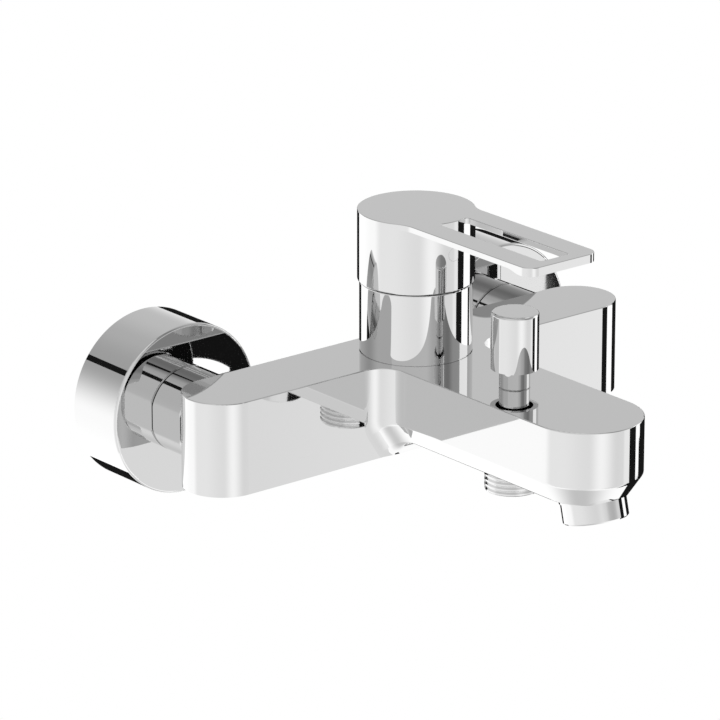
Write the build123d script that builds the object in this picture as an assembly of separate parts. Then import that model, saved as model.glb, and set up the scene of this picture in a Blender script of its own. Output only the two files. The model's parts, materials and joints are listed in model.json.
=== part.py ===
from build123d import *
import math
import os

# Wall mounted single lever bath and shower mixer, as its separate pieces.
# Frame: X to the right for someone facing the wall, +Y into the wall, +Z up.
# The origin lies on the wall face, midway between the two supply studs.
# All lengths are millimetres. A reach is a distance from the wall face into the room.

# Supply connections
INLET_SPACING = 150.0
ECCENTRIC_DROP = 12.0
STUD_RADIUS = 10.48
STUD_LENGTH = 14.0
STUD_BORE_RADIUS = 7.0
UNION_RADIUS = 13.2
UNION_BORE_RADIUS = 9.0
UNION_KNEE_REACH = 6.0
UNION_KNEE_THICKNESS = 8.0

# Wall flanges
FLANGE_RADIUS = 31.75
FLANGE_DEPTH = 24.5
FLANGE_WALL = 1.2
FLANGE_EDGE_RADIUS = 1.0
FLANGE_SEAL_WIDTH = 2.6
FLANGE_SEAL_THICKNESS = 2.2

# Coupling nuts, washers and the nipples in the body
NUT_ACROSS_FLATS = 30.5
NUT_CORNER_RADIUS = 6.0
NUT_LENGTH = 16.2
NUT_LIP_THICKNESS = 4.5
NUT_EDGE_CHAMFER = 0.4
WASHER_THICKNESS = 1.8
WASHER_BORE_RADIUS = 8.6
NIPPLE_FLANGE_THICKNESS = 2.5
NIPPLE_NECK_RADIUS = 10.7
NIPPLE_THREAD_RADIUS = 10.4
NIPPLE_THREAD_LENGTH = 8.0
NIPPLE_BORE_RADIUS = 8.0

# Body casting
BODY_OVERHANG = 23.3
BODY_DEPTH = 29.6
BODY_HEIGHT = 35.0
BODY_NUT_GAP = 1.6
BODY_EDGE_RADIUS = 0.4
SPOUT_WIDTH = 41.2
SPOUT_REACH = 177.9
SPOUT_SIDE_HEIGHT = 20.8
SPOUT_TAPER_HEIGHT = 8.0
SPOUT_TAPER_INSET = 5.3
SPOUT_TAPER_ROUND = 1.6
SPOUT_UNDERSIDE_ROUND = 1.2
SPOUT_ROOT_RADIUS = 10.0
SPOUT_ROOT_SPAN = 30.0

# Cartridge tower on the body
HANDLE_REACH = 64.2
TOWER_RADIUS = 20.6
TOWER_HEIGHT = 26.35
TOWER_EDGE_RADIUS = 0.5
TOWER_FOOT_GROOVE = 0.35
POCKET_RADIUS = 17.65
POCKET_DEPTH = 8.5
NUT_THREAD_RADIUS = 19.0
CARTRIDGE_NUT_HEIGHT = 4.6
CARTRIDGE_NUT_BORE_RADIUS = 13.0
CARTRIDGE_NUT_KEYWAYS = 6
KEYWAY_RADIUS = 2.0
COVER_THICKNESS = 1.8
COVER_BORE_RADIUS = 12.4

# Waterways
SUPPLY_BORE_RADIUS = 5.0
SUPPLY_BORE_END = 4.5
PORT_RADIUS = 3.0
PORT_SPREAD = 6.5
PORT_OFFSET = 4.5
OUTLET_PORT_RADIUS = 4.0
OUTLET_PORT_OFFSET = 8.0
MIXED_BORE_RADIUS = 4.2
MIXED_BORE_DROP = 18.0
SPOUT_BORE_RADIUS = 3.4
SPOUT_BORE_DROP = 8.3

# Ceramic cartridge, from its seat upwards
CARTRIDGE_RADIUS = 17.4
CARTRIDGE_WALL = 2.5
PORT_SEAL_SQUEEZE = 0.8
PORT_SEAL_WIDTH = 1.2
BASE_THICKNESS = 4.2
PEG_RADIUS = 1.4
PEG_LENGTH = 2.0
PEG_SPREAD = 13.0
PEG_OFFSET = 4.0
FIXED_DISC_RADIUS = 14.5
FIXED_DISC_THICKNESS = 4.5
MOVING_DISC_RADIUS = 11.8
MOVING_DISC_THICKNESS = 4.0
MIXING_RECESS_DEPTH = 2.2
DRIVER_THICKNESS = 3.6
DRIVER_LUG_RADIUS = 1.3
DRIVER_LUG_LENGTH = 1.5
DRIVER_LUG_SPREAD = 8.0
ROTOR_FLANGE_HEIGHT = 7.7
ROTOR_NECK_HEIGHT = 5.6
ROTOR_NECK_RADIUS = 11.5
HOUSING_TOP_THICKNESS = 2.0
PIVOT_HEIGHT = 4.5
PIVOT_PIN_RADIUS = 1.5
PIVOT_PIN_LENGTH = 24.0
SPINDLE_WIDTH = 8.0
SPINDLE_SHANK_DROP = 2.5
SPINDLE_NECK_RADIUS = 2.2
SPINDLE_BALL_RADIUS = 2.6
LIFT_ANGLE = 22.0

# Handle and lever
HANDLE_GAP = 0.4
HANDLE_RADIUS = 21.35
HANDLE_HEIGHT = 26.45
HANDLE_EDGE_RADIUS = 0.4
HANDLE_TOP_EDGE = 0.3
HANDLE_ROOF_THICKNESS = 3.2
HANDLE_CAVITY_RADIUS = 17.0
HANDLE_BOSS_RADIUS = 8.2
HANDLE_BOSS_HEIGHT = 15.0
SPINDLE_ROOF_GAP = 3.0
LEVER_WIDTH = 32.6
LEVER_REACH = 144.9
LEVER_THICKNESS = 2.2
LEVER_TIP_THICKNESS = 3.3
LEVER_TIP_LENGTH = 5.0
LEVER_STEP_LENGTH = 7.0
LEVER_CORNER_RADIUS = 4.5
LEVER_ROOT_RADIUS = 12.0
LEVER_SLOT_WIDTH = 13.0
LEVER_END_BAR = 4.9
LEVER_SLOT_CORNER = 1.2
PLUG_RADIUS = 2.5
PLUG_DEPTH = 2.6
PLUG_DROP = 12.4
SET_SCREW_RADIUS = 2.4

# Diverter
DIVERTER_REACH = 119.0
KNOB_RADIUS = 8.6
KNOB_HEIGHT = 21.1
KNOB_LIFT = 7.0
KNOB_EDGE_RADIUS = 1.0
KNOB_CAVITY_DEPTH = 11.5
KNOB_CAVITY_RADIUS = 6.8
BONNET_RADIUS = 5.6
BONNET_HEIGHT = 16.5
BONNET_FOOT_CHAMFER = 0.35
BONNET_THREAD_RADIUS = 4.9
BONNET_SEAL_RADIUS = 3.9
BONNET_SEAL_HEIGHT = 1.8
STEM_RADIUS = 2.5
STEM_SPIGOT_RADIUS = 1.7
STEM_KNOB_DEPTH = 6.0
CHAMBER_RADIUS = 8.5
CHAMBER_ROOF = 4.8
SEAT_DROP = 11.7
SEAT_THICKNESS = 2.0
SEAT_BORE_RADIUS = 5.4
PISTON_RADIUS = 7.2
PISTON_CORE_THICKNESS = 1.4
PISTON_WASHER_THICKNESS = 1.0
STEM_NUT_ACROSS_FLATS = 5.5
STEM_NUT_HEIGHT = 1.6
DIVERTER_SPRING_RADIUS = 3.7
DIVERTER_SPRING_WIRE = 0.4
DIVERTER_SPRING_TURNS = 6

# Shower outlet
OUTLET_RADIUS = 10.48
OUTLET_LENGTH = 9.5
OUTLET_INNER_LENGTH = 4.7
OUTLET_SEAT_THICKNESS = 1.8
OUTLET_BORE_RADIUS = 7.0
OUTLET_EDGE_CHAMFER = 0.8
VALVE_SLEEVE_LENGTH = 10.2
VALVE_SLEEVE_WALL = 1.2
VALVE_SEAT_THICKNESS = 1.2
VALVE_SEAT_BORE = 3.4
VALVE_GUIDE_THICKNESS = 1.2
VALVE_GUIDE_HOLE = 1.2
VALVE_GUIDE_HOLE_SPREAD = 3.7
VALVE_GUIDE_HOLES = 6
POPPET_RADIUS = 4.5
POPPET_THICKNESS = 1.2
POPPET_STEM_RADIUS = 0.9
VALVE_SPRING_RADIUS = 2.0
VALVE_SPRING_WIRE = 0.25
VALVE_SPRING_TURNS = 5

# Aerator
AERATOR_REACH = 161.3
AERATOR_TILT = 14.0
AERATOR_COLLAR_RADIUS = 12.2
AERATOR_COLLAR_LENGTH = 1.5
AERATOR_COLLAR_DEPTH = 6.0
AERATOR_RADIUS = 11.8
AERATOR_LENGTH = 7.4
AERATOR_EDGE_CHAMFER = 0.5
AERATOR_STUB_RADIUS = 10.4
AERATOR_STUB_LENGTH = 3.7
AERATOR_BORE_RADIUS = 8.0
AERATOR_BORE_DEPTH = 8.0
AERATOR_FEED_RADIUS = 6.0
AERATOR_GASKET_THICKNESS = 1.2
AERATOR_INSERT_THICKNESS = 1.7
AERATOR_LIP_RADIUS = 9.2
AERATOR_HOLE_RADIUS = 0.75
AERATOR_HOLE_PITCH = 2.5
AERATOR_HOLE_FIELD = 7.6

# Clearances
SCREW_GAP = 0.05
RUNNING_GAP = 0.05
SLIDE_GAP = 0.3
SEAT_GAP = 0.1
SEAM_GAP = 0.3

# Values that help to pick edges and corners
LEVEL_TOLERANCE = 0.01
PICK_MARGIN = 1.0
HEXAGON_SIDES = 6

# Points on each turn of a spring where its gap to itself is measured
GAP_POINT_COUNT = 24

# Heights and places that follow from the sizes above
AXIS_Z = -ECCENTRIC_DROP
NUT_BACK_REACH = FLANGE_DEPTH + SEAM_GAP
NUT_FRONT_REACH = NUT_BACK_REACH + NUT_LENGTH
NUT_LIP_REACH = NUT_FRONT_REACH - NUT_LIP_THICKNESS
NIPPLE_BACK_REACH = NUT_LIP_REACH - NIPPLE_FLANGE_THICKNESS
UNION_END_REACH = NIPPLE_BACK_REACH - WASHER_THICKNESS

BODY_LENGTH = INLET_SPACING + 2 * BODY_OVERHANG
BODY_BACK_REACH = NUT_FRONT_REACH + BODY_NUT_GAP
BODY_TOP = AXIS_Z + BODY_HEIGHT / 2
BODY_BOTTOM = AXIS_Z - BODY_HEIGHT / 2
BODY_FRONT_REACH = BODY_BACK_REACH + BODY_DEPTH
BODY_MIDDLE_REACH = BODY_BACK_REACH + BODY_DEPTH / 2
SPOUT_TAPER_Z = BODY_TOP - SPOUT_SIDE_HEIGHT
UNDERSIDE_Z = SPOUT_TAPER_Z - SPOUT_TAPER_HEIGHT
SPOUT_TIP_REACH = SPOUT_REACH - SPOUT_WIDTH / 2
TOWER_TOP = BODY_TOP + TOWER_HEIGHT
SEAT_Z = BODY_TOP - POCKET_DEPTH
HANDLE_BOTTOM = TOWER_TOP + HANDLE_GAP
HANDLE_TOP = HANDLE_BOTTOM + HANDLE_HEIGHT
MIXED_BORE_Z = BODY_TOP - MIXED_BORE_DROP
SPOUT_BORE_Z = BODY_TOP - SPOUT_BORE_DROP

BASE_Z = SEAT_Z + PORT_SEAL_SQUEEZE
FIXED_DISC_Z = BASE_Z + BASE_THICKNESS
MOVING_DISC_Z = FIXED_DISC_Z + FIXED_DISC_THICKNESS + RUNNING_GAP
DRIVER_Z = MOVING_DISC_Z + MOVING_DISC_THICKNESS
DRIVER_TOP = DRIVER_Z + DRIVER_THICKNESS
ROTOR_Z = DRIVER_TOP + SLIDE_GAP
ROTOR_SHOULDER = ROTOR_Z + ROTOR_FLANGE_HEIGHT
ROTOR_TOP = ROTOR_SHOULDER + ROTOR_NECK_HEIGHT
CARTRIDGE_CAVITY = CARTRIDGE_RADIUS - CARTRIDGE_WALL
ROTOR_RADIUS = CARTRIDGE_CAVITY - SLIDE_GAP
HOUSING_TOP = ROTOR_SHOULDER + SLIDE_GAP + HOUSING_TOP_THICKNESS
CARTRIDGE_NUT_TOP = HOUSING_TOP + CARTRIDGE_NUT_HEIGHT
PIVOT_Z = ROTOR_Z + PIVOT_HEIGHT
BALL_Z = DRIVER_Z + SPINDLE_BALL_RADIUS + SLIDE_GAP
SOCKET_RADIUS = SPINDLE_BALL_RADIUS + SLIDE_GAP
SPINDLE_TOP = HANDLE_TOP - HANDLE_ROOF_THICKNESS - SPINDLE_ROOF_GAP
PLUG_Z = HANDLE_TOP - PLUG_DROP

KNOB_BOTTOM = BODY_TOP + KNOB_LIFT
KNOB_TOP = KNOB_BOTTOM + KNOB_HEIGHT
CHAMBER_TOP = BODY_TOP - CHAMBER_ROOF
SEAT_RING_Z = BODY_TOP - SEAT_DROP - SEAT_THICKNESS
OUTLET_SEAT_Z = UNDERSIDE_Z + OUTLET_INNER_LENGTH
OUTLET_BOTTOM = UNDERSIDE_Z - OUTLET_LENGTH
PISTON_Z = OUTLET_SEAT_Z + SEAT_GAP
PISTON_CORE_Z = PISTON_Z + PISTON_WASHER_THICKNESS
PISTON_UPPER_Z = PISTON_CORE_Z + PISTON_CORE_THICKNESS
PISTON_TOP = PISTON_UPPER_Z + PISTON_WASHER_THICKNESS
VALVE_TOP = OUTLET_SEAT_Z - OUTLET_SEAT_THICKNESS
VALVE_BOTTOM = VALVE_TOP - VALVE_SLEEVE_LENGTH
POPPET_TOP = VALVE_TOP - VALVE_SEAT_THICKNESS - SEAT_GAP
POPPET_BOTTOM = POPPET_TOP - POPPET_THICKNESS
VALVE_GUIDE_TOP = VALVE_BOTTOM + VALVE_GUIDE_THICKNESS

HANDLE_AXIS = Pos(0, -HANDLE_REACH, 0)
DIVERTER_AXIS = Pos(0, -DIVERTER_REACH, 0)
AERATOR_JET = Plane(
    origin=(0, -AERATOR_REACH, UNDERSIDE_Z),
    x_dir=(1, 0, 0),
    z_dir=(0, -math.sin(math.radians(AERATOR_TILT)), -math.cos(math.radians(AERATOR_TILT))),
)


def rod(radius, bottom, top):
    """Round bar on the Z axis between two heights."""
    return Pos(0, 0, bottom) * extrude(Circle(radius), amount=top - bottom)


def tube(outer, inner, bottom, top):
    """Round tube on the Z axis between two heights."""
    return rod(outer, bottom, top) - rod(inner, bottom, top)


def along_wall(radius, reach_start, reach_end, x, z):
    """Round bar square to the wall, between two distances from the wall face."""
    plane = Plane(origin=(x, -reach_start, z), x_dir=(1, 0, 0), z_dir=(0, -1, 0))
    return extrude(plane * Circle(radius), amount=reach_end - reach_start)


def across(radius, x_start, x_end, reach, z):
    """Round bar along X."""
    plane = Plane(origin=(x_start, -reach, z), x_dir=(0, 1, 0), z_dir=(1, 0, 0))
    return extrude(plane * Circle(radius), amount=x_end - x_start)


def at_level(picked, axis, level):
    """Those edges or corners that lie at one level along an axis."""
    return picked.filter_by_position(axis, level - LEVEL_TOLERANCE, level + LEVEL_TOLERANCE)


def edges_at(part, z):
    """Edges of a part that lie at one height."""
    return at_level(part.edges(), Axis.Z, z)


def coil_path(radius, bottom, top, turns):
    """Helix about the Z axis as tangent arcs, two to each quarter turn."""
    steps = 4 * turns
    rise = (top - bottom) / steps
    quarter = math.pi / 2
    stations = []
    for step in range(steps + 1):
        angle = step * quarter
        point = Vector(radius * math.cos(angle), radius * math.sin(angle), bottom + step * rise)
        heading = Vector(-radius * math.sin(angle), radius * math.cos(angle), rise / quarter)
        stations.append((point, heading.normalized()))
    arcs = []
    for (start, leave), (end, arrive) in zip(stations, stations[1:]):
        chord = end - start
        bend = 2 * (1 - leave.dot(arrive))
        along = chord.dot(leave + arrive)
        handle = (math.sqrt(along**2 + bend * chord.dot(chord)) - along) / bend
        first = start + leave * handle
        second = end - arrive * handle
        middle = (first + second) * 0.5
        arcs.append(TangentArc(start, middle, tangent=leave))
        arcs.append(TangentArc(middle, end, tangent=second - first))
    return Wire(arcs)


def coil_gap(path, wire, turns):
    """Least gap of a wound wire to itself, measured on points half a turn or more apart."""
    steps = turns * GAP_POINT_COUNT
    points = [path @ (step / steps) for step in range(steps + 1)]
    apart = GAP_POINT_COUNT // 2
    pairs = [(point, other) for i, point in enumerate(points) for other in points[i + apart :]]
    return min((other - point).length for point, other in pairs) - 2 * wire


def coil(radius, wire, bottom, top, turns):
    """Compression spring whose wire ends rest on two levels."""
    path = coil_path(radius, bottom + wire, top - wire, turns)
    print(f"spring of {turns} turns, least gap to itself {coil_gap(path, wire, turns):.2f} mm")
    start = Plane(origin=path @ 0, z_dir=path % 0)
    return sweep(start * Circle(wire), path=path)


def spout_plan():
    """Outline of the spout seen from above, from inside the crossbar to its round tip."""
    straight = SPOUT_TIP_REACH - BODY_MIDDLE_REACH
    side = Pos(0, -BODY_MIDDLE_REACH - straight / 2) * Rectangle(SPOUT_WIDTH, straight)
    tip = Pos(0, -SPOUT_TIP_REACH) * Circle(SPOUT_WIDTH / 2)
    return side + tip


def spout_shell():
    """Spout with upright sides, a drawn-in lower edge and a flared root."""
    plan = spout_plan()
    lower_plan = offset(plan, amount=-SPOUT_TAPER_INSET)
    upright = Pos(0, 0, SPOUT_TAPER_Z) * extrude(plan, amount=SPOUT_SIDE_HEIGHT)
    taper = loft([Pos(0, 0, UNDERSIDE_Z) * lower_plan, Pos(0, 0, SPOUT_TAPER_Z) * plan], ruled=True)
    blank = upright + taper
    for level, rounding in ((SPOUT_TAPER_Z, SPOUT_TAPER_ROUND), (UNDERSIDE_Z, SPOUT_UNDERSIDE_ROUND)):
        front = -BODY_MIDDLE_REACH - PICK_MARGIN
        rim = edges_at(blank, level).filter_by(lambda edge: edge.center().Y < front)
        blank = fillet(rim, rounding)
    wall_width = SPOUT_WIDTH + 2 * SPOUT_ROOT_SPAN
    wall_height = BODY_HEIGHT + SPOUT_ROOT_SPAN
    wall = Box(wall_width, BODY_DEPTH / 2, wall_height)
    joined = blank + Pos(0, -BODY_MIDDLE_REACH - BODY_DEPTH / 4, BODY_TOP - wall_height / 2) * wall
    root = at_level(joined.edges(), Axis.Y, -BODY_FRONT_REACH).filter_by(
        lambda edge: abs(edge.center().X) < SPOUT_WIDTH / 2 + PICK_MARGIN
        and UNDERSIDE_Z - PICK_MARGIN < edge.center().Z < BODY_TOP - PICK_MARGIN
    )
    joined = fillet(root, SPOUT_ROOT_RADIUS)
    keep = Pos(0, -SPOUT_REACH / 2, AXIS_Z) * Box(wall_width, SPOUT_REACH, BODY_HEIGHT)
    return joined & keep


def crossbar():
    """Straight bar with round ends that the two inlets enter from behind."""
    plan = Pos(0, -BODY_MIDDLE_REACH) * SlotOverall(BODY_LENGTH, BODY_DEPTH)
    return Pos(0, 0, BODY_BOTTOM) * extrude(plan, amount=BODY_HEIGHT)


def body_waterways():
    """Everything that is bored or cored out of the body."""
    hollows = []
    for side in (-1, 1):
        x = side * INLET_SPACING / 2
        socket_end = BODY_BACK_REACH + NIPPLE_THREAD_LENGTH + SEAM_GAP
        hollows.append(along_wall(NIPPLE_THREAD_RADIUS + SCREW_GAP, BODY_BACK_REACH, socket_end, x, AXIS_Z))
        well_end = BODY_MIDDLE_REACH + NIPPLE_BORE_RADIUS
        hollows.append(along_wall(NIPPLE_BORE_RADIUS, socket_end, well_end, x, AXIS_Z))
        hollows.append(across(SUPPLY_BORE_RADIUS, x, side * SUPPLY_BORE_END, BODY_MIDDLE_REACH, AXIS_Z))
        port = HANDLE_AXIS * Pos(side * PORT_SPREAD, PORT_OFFSET) * rod(PORT_RADIUS, AXIS_Z, SEAT_Z)
        hollows.append(port)
        peg = HANDLE_AXIS * Pos(side * PEG_SPREAD, -PEG_OFFSET) * rod(
            PEG_RADIUS + SCREW_GAP, BASE_Z - PEG_LENGTH - SEAM_GAP, SEAT_Z
        )
        hollows.append(peg)
    outlet_reach = HANDLE_REACH + OUTLET_PORT_OFFSET
    hollows.append(Pos(0, -outlet_reach, 0) * rod(OUTLET_PORT_RADIUS, MIXED_BORE_Z, SEAT_Z))
    hollows.append(along_wall(MIXED_BORE_RADIUS, outlet_reach, DIVERTER_REACH, 0, MIXED_BORE_Z))
    hollows.append(HANDLE_AXIS * rod(POCKET_RADIUS, SEAT_Z, TOWER_TOP))
    hollows.append(HANDLE_AXIS * rod(NUT_THREAD_RADIUS + SCREW_GAP, HOUSING_TOP - SEAM_GAP, TOWER_TOP))
    hollows.append(DIVERTER_AXIS * rod(BONNET_THREAD_RADIUS + SCREW_GAP, CHAMBER_TOP, BODY_TOP))
    hollows.append(DIVERTER_AXIS * rod(CHAMBER_RADIUS, UNDERSIDE_Z, CHAMBER_TOP))
    jet = AERATOR_JET
    stub_end = AERATOR_COLLAR_LENGTH + AERATOR_STUB_LENGTH
    hollows.append(jet * rod(AERATOR_BORE_RADIUS, -AERATOR_BORE_DEPTH, stub_end))
    feed_length = (SPOUT_BORE_Z - UNDERSIDE_Z) / math.cos(math.radians(AERATOR_TILT))
    hollows.append(jet * rod(AERATOR_FEED_RADIUS, -feed_length, -AERATOR_BORE_DEPTH))
    feed_reach = AERATOR_REACH - feed_length * math.sin(math.radians(AERATOR_TILT))
    hollows.append(along_wall(SPOUT_BORE_RADIUS, DIVERTER_REACH, feed_reach, 0, SPOUT_BORE_Z))
    return hollows


def mixer_body():
    """Cast body: crossbar, spout, cartridge tower and the threaded stub for the aerator."""
    outside = crossbar() + spout_shell()
    collar = rod(AERATOR_COLLAR_RADIUS, -AERATOR_COLLAR_DEPTH, AERATOR_COLLAR_LENGTH)
    outside = outside + AERATOR_JET * collar
    outside = fillet(edges_at(outside, BODY_TOP), BODY_EDGE_RADIUS)
    tower = HANDLE_AXIS * rod(TOWER_RADIUS, SEAT_Z, TOWER_TOP)
    tower = fillet(edges_at(tower, TOWER_TOP), TOWER_EDGE_RADIUS)
    foot_radius = TOWER_RADIUS - TOWER_FOOT_GROOVE
    tower = tower - HANDLE_AXIS * tube(TOWER_RADIUS, foot_radius, BODY_TOP, BODY_TOP + TOWER_FOOT_GROOVE)
    outside = outside + tower
    stub_end = AERATOR_COLLAR_LENGTH + AERATOR_STUB_LENGTH
    spot_face = rod(AERATOR_COLLAR_RADIUS, AERATOR_COLLAR_LENGTH, AERATOR_COLLAR_LENGTH + AERATOR_LENGTH)
    outside = outside - AERATOR_JET * spot_face
    outside = outside + AERATOR_JET * rod(AERATOR_STUB_RADIUS, 0, stub_end)
    for hollow in body_waterways():
        outside = outside - hollow
    return outside


def coupling_nut(x):
    """Hexagon coupling nut with rounded corners and an inner lip that pulls on the nipple."""
    plane = Plane(origin=(x, -NUT_BACK_REACH, AXIS_Z), x_dir=(0, 0, 1), z_dir=(0, -1, 0))
    hexagon = RegularPolygon(NUT_ACROSS_FLATS / 2, HEXAGON_SIDES, major_radius=False)
    hexagon = fillet(hexagon.vertices(), NUT_CORNER_RADIUS)
    nut = extrude(plane * hexagon, amount=NUT_LENGTH)
    ends = at_level(nut.edges(), Axis.Y, -NUT_BACK_REACH) + at_level(nut.edges(), Axis.Y, -NUT_FRONT_REACH)
    nut = chamfer(ends, NUT_EDGE_CHAMFER)
    nut = nut - along_wall(UNION_RADIUS + SCREW_GAP, NUT_BACK_REACH, NUT_LIP_REACH, x, AXIS_Z)
    return nut - along_wall(NIPPLE_NECK_RADIUS + SCREW_GAP, NUT_LIP_REACH, NUT_FRONT_REACH, x, AXIS_Z)


def inlet_nipple(x):
    """Flanged nipple screwed into the back of the body and drawn up by the coupling nut."""
    nipple = along_wall(UNION_RADIUS - SCREW_GAP, NIPPLE_BACK_REACH, NUT_LIP_REACH, x, AXIS_Z)
    nipple = nipple + along_wall(NIPPLE_NECK_RADIUS, NUT_LIP_REACH, BODY_BACK_REACH, x, AXIS_Z)
    thread_end = BODY_BACK_REACH + NIPPLE_THREAD_LENGTH
    nipple = nipple + along_wall(NIPPLE_THREAD_RADIUS, BODY_BACK_REACH, thread_end, x, AXIS_Z)
    return nipple - along_wall(NIPPLE_BORE_RADIUS, NIPPLE_BACK_REACH, thread_end, x, AXIS_Z)


def inlet_washer(x):
    """Flat fibre washer between the nipple and the eccentric union."""
    outer = along_wall(UNION_RADIUS - SCREW_GAP, UNION_END_REACH, NIPPLE_BACK_REACH, x, AXIS_Z)
    return outer - along_wall(WASHER_BORE_RADIUS, UNION_END_REACH, NIPPLE_BACK_REACH, x, AXIS_Z)


def eccentric_union(x):
    """Cranked wall union: the wall stud sits above the threaded end for the coupling nut."""
    knee_end = UNION_KNEE_REACH + UNION_KNEE_THICKNESS
    upper = Circle(STUD_RADIUS)
    lower = Pos(0, AXIS_Z) * Circle(UNION_RADIUS)
    outline = make_hull(upper.edges() + lower.edges())
    knee_plane = Plane(origin=(x, -UNION_KNEE_REACH, 0), x_dir=(1, 0, 0), z_dir=(0, -1, 0))
    knee = extrude(knee_plane * outline, amount=UNION_KNEE_THICKNESS)
    union = along_wall(STUD_RADIUS, -STUD_LENGTH, UNION_KNEE_REACH, x, 0) + knee
    union = union + along_wall(UNION_RADIUS, knee_end, UNION_END_REACH, x, AXIS_Z)
    wall = UNION_RADIUS - UNION_BORE_RADIUS
    union = union - along_wall(STUD_BORE_RADIUS, -STUD_LENGTH, knee_end - wall, x, 0)
    return union - along_wall(UNION_BORE_RADIUS, UNION_KNEE_REACH + wall / 2, UNION_END_REACH, x, AXIS_Z)


def wall_flange(x):
    """Deep round cup that hides the union and stands on the wall."""
    shell = along_wall(FLANGE_RADIUS, 0, FLANGE_DEPTH, x, AXIS_Z)
    rim = shell.edges().sort_by(Axis.Y)[0]
    shell = fillet(rim, FLANGE_EDGE_RADIUS)
    hollow = along_wall(FLANGE_RADIUS - FLANGE_WALL, 0, FLANGE_DEPTH - FLANGE_WALL, x, AXIS_Z)
    inner_rim = hollow.edges().sort_by(Axis.Y)[0]
    hollow = fillet(inner_rim, FLANGE_EDGE_RADIUS - FLANGE_WALL / 2)
    return shell - hollow - along_wall(UNION_RADIUS + SCREW_GAP, 0, FLANGE_DEPTH, x, AXIS_Z)


def flange_seal(x):
    """Rubber ring that grips the union and holds the flange against the wall."""
    front = FLANGE_DEPTH - FLANGE_WALL
    back = front - FLANGE_SEAL_THICKNESS
    outer = along_wall(UNION_RADIUS + FLANGE_SEAL_WIDTH, back, front, x, AXIS_Z)
    return outer - along_wall(UNION_RADIUS, back, front, x, AXIS_Z)


def port_places():
    """The three ports under the cartridge, as place and radius."""
    places = [(side * PORT_SPREAD, PORT_OFFSET, PORT_RADIUS) for side in (-1, 1)]
    return places + [(0, -OUTLET_PORT_OFFSET, OUTLET_PORT_RADIUS)]


def port_seals():
    """Rubber rings between the cartridge and the body, one round each port."""
    rings = []
    for x, y, radius in port_places():
        ring = tube(radius + PORT_SEAL_WIDTH, radius, SEAT_Z, BASE_Z)
        rings.append(HANDLE_AXIS * Pos(x, y) * ring)
    return Compound(children=[ring.solid() for ring in rings])


def cartridge_base():
    """Base of the cartridge, pegged to the body, with the three ports."""
    base = rod(CARTRIDGE_RADIUS, BASE_Z, FIXED_DISC_Z)
    for side in (-1, 1):
        base = base + Pos(side * PEG_SPREAD, -PEG_OFFSET) * rod(PEG_RADIUS, BASE_Z - PEG_LENGTH, BASE_Z)
    for x, y, radius in port_places():
        base = base - Pos(x, y) * rod(radius, BASE_Z, FIXED_DISC_Z)
    return HANDLE_AXIS * base


def fixed_disc():
    """Ceramic disc that stays put, with two supply ports and the mixed water port."""
    top = FIXED_DISC_Z + FIXED_DISC_THICKNESS
    disc = rod(FIXED_DISC_RADIUS, FIXED_DISC_Z, top)
    for x, y, radius in port_places():
        disc = disc - Pos(x, y) * rod(radius, FIXED_DISC_Z, top)
    return HANDLE_AXIS * disc


def moving_disc():
    """Ceramic disc with a mixing recess, keyed to the driver by two blind holes."""
    disc = rod(MOVING_DISC_RADIUS, MOVING_DISC_Z, DRIVER_Z)
    recess_length = OUTLET_PORT_OFFSET + OUTLET_PORT_RADIUS
    recess = Pos(0, -PORT_RADIUS, MOVING_DISC_Z) * extrude(
        SlotOverall(recess_length, 2 * PORT_RADIUS, rotation=90), amount=MIXING_RECESS_DEPTH
    )
    disc = disc - recess
    for side in (-1, 1):
        key = rod(DRIVER_LUG_RADIUS + SCREW_GAP, DRIVER_Z - DRIVER_LUG_LENGTH - SEAM_GAP, DRIVER_Z)
        disc = disc - Pos(side * DRIVER_LUG_SPREAD, 0) * key
    return HANDLE_AXIS * disc


def disc_driver():
    """Plate on the moving disc with the socket that the spindle's ball pushes."""
    plate = rod(MOVING_DISC_RADIUS, DRIVER_Z, DRIVER_TOP)
    for side in (-1, 1):
        lug = rod(DRIVER_LUG_RADIUS, DRIVER_Z - DRIVER_LUG_LENGTH, DRIVER_Z)
        plate = plate + Pos(side * DRIVER_LUG_SPREAD, 0) * lug
    return HANDLE_AXIS * (plate - rod(SOCKET_RADIUS, DRIVER_Z, DRIVER_TOP))


def cartridge_housing():
    """Upper shell of the cartridge, which the ring nut clamps by its shoulder."""
    shell = rod(CARTRIDGE_RADIUS, FIXED_DISC_Z, HOUSING_TOP)
    disc_top = FIXED_DISC_Z + FIXED_DISC_THICKNESS
    shell = shell - rod(FIXED_DISC_RADIUS + SCREW_GAP, FIXED_DISC_Z, disc_top)
    shell = shell - rod(CARTRIDGE_CAVITY, disc_top, ROTOR_SHOULDER + SLIDE_GAP)
    return HANDLE_AXIS * (shell - rod(ROTOR_NECK_RADIUS + SLIDE_GAP, ROTOR_SHOULDER, HOUSING_TOP))


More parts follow.
